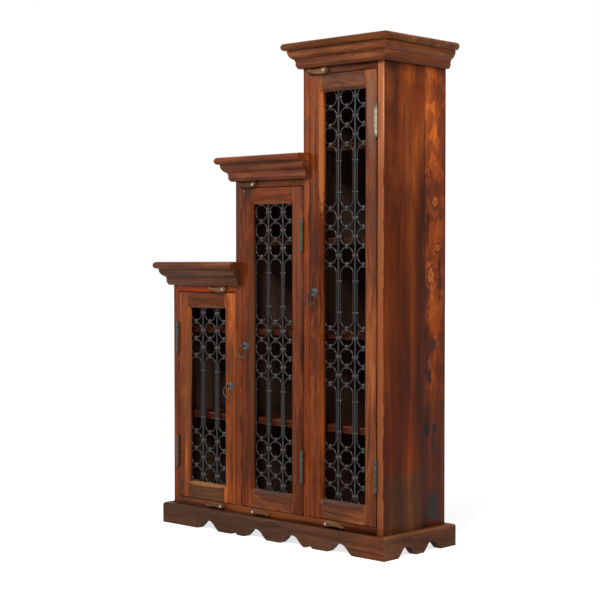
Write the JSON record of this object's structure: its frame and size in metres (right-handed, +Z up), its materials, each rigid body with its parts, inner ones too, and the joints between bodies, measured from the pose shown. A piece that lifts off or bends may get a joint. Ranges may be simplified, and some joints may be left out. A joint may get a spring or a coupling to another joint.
{
  "type": "cd storage unit",
  "caption": "Stepped wooden storage cabinet with moulded cornices, scalloped plinth, shelves and hinged doors with iron ring grilles.",
  "frame": {"origin": "middle of the bottom of the overall box, on the floor", "axes": "+Z up, the doors face -Y, the bays rise from -X to +X"},
  "size_m": [0.786, 0.288, 1.2],
  "materials": {
    "carcass_wood": "satin lacquer over strongly streaked red-brown rosewood",
    "door_wood": "satin lacquer, lighter orange-brown streaks",
    "cornice_wood": "satin lacquer, grain along the moulding",
    "plinth_wood": "darker satin lacquer, grain along the board",
    "shelf_wood": "thin satin lacquer",
    "back_wood": "matt stained board",
    "button_wood": "olive-brown rubbed wood",
    "grille_iron": "black waxed wrought iron, worn bright at the knots",
    "hinge_iron": "dark greenish-grey patina",
    "pull_iron": "dark blued iron, rubbed",
    "pin_steel": "rubbed bright pin heads"
  },
  "bodies": {
    "carcass": {"left_side_board": "carcass_wood", "left_partition": "carcass_wood", "right_partition": "carcass_wood", "right_side_board": "carcass_wood", "bottom_board": "carcass_wood", "small_top_board": "carcass_wood", "medium_top_board": "carcass_wood", "tall_top_board": "carcass_wood", "back_panel": "back_wood", "small_shelves": "shelf_wood", "medium_shelves": "shelf_wood", "tall_shelves": "shelf_wood", "plinth_front": "plinth_wood", "plinth_left": "plinth_wood", "plinth_right": "plinth_wood", "plinth_back": "plinth_wood", "small_top_slab": "cornice_wood", "medium_top_slab": "cornice_wood", "tall_top_slab": "cornice_wood", "small_cornice_front": "cornice_wood", "small_cornice_left": "cornice_wood", "medium_cornice_front": "cornice_wood", "medium_cornice_left": "cornice_wood", "tall_cornice_front": "cornice_wood", "tall_cornice_left": "cornice_wood", "tall_cornice_right": "cornice_wood", "hinge_frame_leaves": "hinge_iron", "hinge_pins": "hinge_iron", "turn_button_pins": "pin_steel"},
    "small_door": {"small_door_left_stile": "door_wood", "small_door_right_stile": "door_wood", "small_door_top_rail": "door_wood", "small_door_bottom_rail": "door_wood", "small_door_grille": "grille_iron", "small_door_hinge_leaves": "hinge_iron", "small_door_pull_plate": "pull_iron"},
    "small_pull_ring": {"small_door_pull_ring": "pull_iron"},
    "small_turn_button_top": {"small_turn_button_top": "button_wood"},
    "small_turn_button_bottom": {"small_turn_button_bottom": "button_wood"},
    "medium_door": {"medium_door_left_stile": "door_wood", "medium_door_right_stile": "door_wood", "medium_door_top_rail": "door_wood", "medium_door_bottom_rail": "door_wood", "medium_door_grille": "grille_iron", "medium_door_hinge_leaves": "hinge_iron", "medium_door_pull_plate": "pull_iron"},
    "medium_pull_ring": {"medium_door_pull_ring": "pull_iron"},
    "medium_turn_button_top": {"medium_turn_button_top": "button_wood"},
    "medium_turn_button_bottom": {"medium_turn_button_bottom": "button_wood"},
    "tall_door": {"tall_door_left_stile": "door_wood", "tall_door_right_stile": "door_wood", "tall_door_top_rail": "door_wood", "tall_door_bottom_rail": "door_wood", "tall_door_grille": "grille_iron", "tall_door_hinge_leaves": "hinge_iron", "tall_door_pull_plate": "pull_iron"},
    "tall_pull_ring": {"tall_door_pull_ring": "pull_iron"},
    "tall_turn_button_top": {"tall_turn_button_top": "button_wood"},
    "tall_turn_button_bottom": {"tall_turn_button_bottom": "button_wood"}
  },
  "joints": [
    {"name": "small_door_hinge", "type": "hinge", "parent": "carcass", "child": "small_door", "pos_m": [-0.3345, -0.1093, 0.34], "axis": [0, 0, 1], "range_deg": [-170, 0]},
    {"name": "small_ring_swing", "type": "hinge", "parent": "small_door", "child": "small_pull_ring", "pos_m": [-0.142, -0.1175, 0.36901], "axis": [1, 0, 0], "range_deg": [-190, 12]},
    {"name": "small_turn_button_top_turn", "type": "hinge", "parent": "carcass", "child": "small_turn_button_top", "pos_m": [-0.16301, -0.1098, 0.611], "axis": [0, 1, 0], "range_deg": [-180, 0]},
    {"name": "small_turn_button_bottom_turn", "type": "hinge", "parent": "carcass", "child": "small_turn_button_bottom", "pos_m": [-0.17106, -0.1098, 0.062], "axis": [0, 1, 0], "range_deg": [0, 180]},
    {"name": "medium_door_hinge", "type": "hinge", "parent": "carcass", "child": "medium_door", "pos_m": [0.1045, -0.1093, 0.47], "axis": [0, 0, 1], "range_deg": [0, 140]},
    {"name": "medium_ring_swing", "type": "hinge", "parent": "medium_door", "child": "medium_pull_ring", "pos_m": [-0.088, -0.1175, 0.47198], "axis": [1, 0, 0], "range_deg": [-190, 12]},
    {"name": "medium_turn_button_top_turn", "type": "hinge", "parent": "carcass", "child": "medium_turn_button_top", "pos_m": [-0.05597, -0.1098, 0.871], "axis": [0, 1, 0], "range_deg": [-180, 0]},
    {"name": "medium_turn_button_bottom_turn", "type": "hinge", "parent": "carcass", "child": "medium_turn_button_bottom", "pos_m": [-0.05703, -0.1098, 0.062], "axis": [0, 1, 0], "range_deg": [-180, 0]},
    {"name": "tall_door_hinge", "type": "hinge", "parent": "carcass", "child": "tall_door", "pos_m": [0.3345, -0.1093, 0.6], "axis": [0, 0, 1], "range_deg": [0, 170]},
    {"name": "tall_ring_swing", "type": "hinge", "parent": "tall_door", "child": "tall_pull_ring", "pos_m": [0.142, -0.1175, 0.60897], "axis": [1, 0, 0], "range_deg": [-190, 12]},
    {"name": "tall_turn_button_top_turn", "type": "hinge", "parent": "carcass", "child": "tall_turn_button_top", "pos_m": [0.17806, -0.1098, 1.131], "axis": [0, 1, 0], "range_deg": [-180, 0]},
    {"name": "tall_turn_button_bottom_turn", "type": "hinge", "parent": "carcass", "child": "tall_turn_button_bottom", "pos_m": [0.18506, -0.1098, 0.062], "axis": [0, 1, 0], "range_deg": [-180, 0]}
  ]
}
